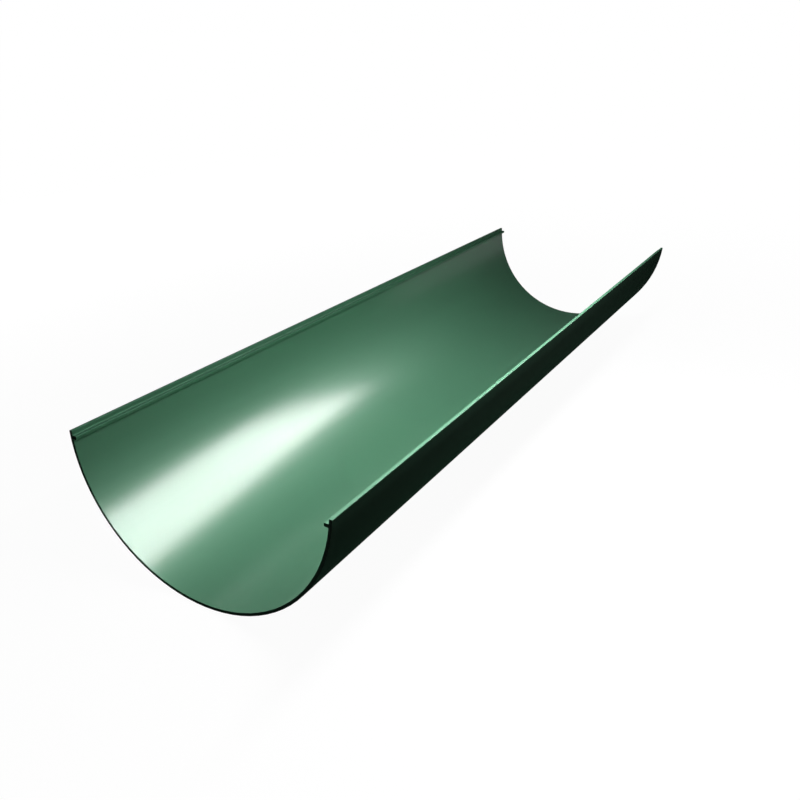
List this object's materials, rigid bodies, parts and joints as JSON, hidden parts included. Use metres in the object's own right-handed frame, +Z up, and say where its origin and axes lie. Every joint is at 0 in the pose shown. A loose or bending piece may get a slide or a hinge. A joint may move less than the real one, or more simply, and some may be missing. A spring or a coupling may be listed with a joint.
{
  "type": "half-round gutter section",
  "caption": "Straight length of half-round rain gutter, open at the top and at both ends, with a small inward lip along each wall just under its rim.",
  "frame": {"origin": "lowest line of the outside of the channel, at mid length", "axes": "+X across the channel, +Y along its length, +Z up out of its open top"},
  "size_m": [0.1298, 0.45, 0.0626],
  "materials": {
    "green_pvc": "smooth gloss, as extruded"
  },
  "bodies": {
    "root": {"gutter": "green_pvc"}
  },
  "joints": []
}
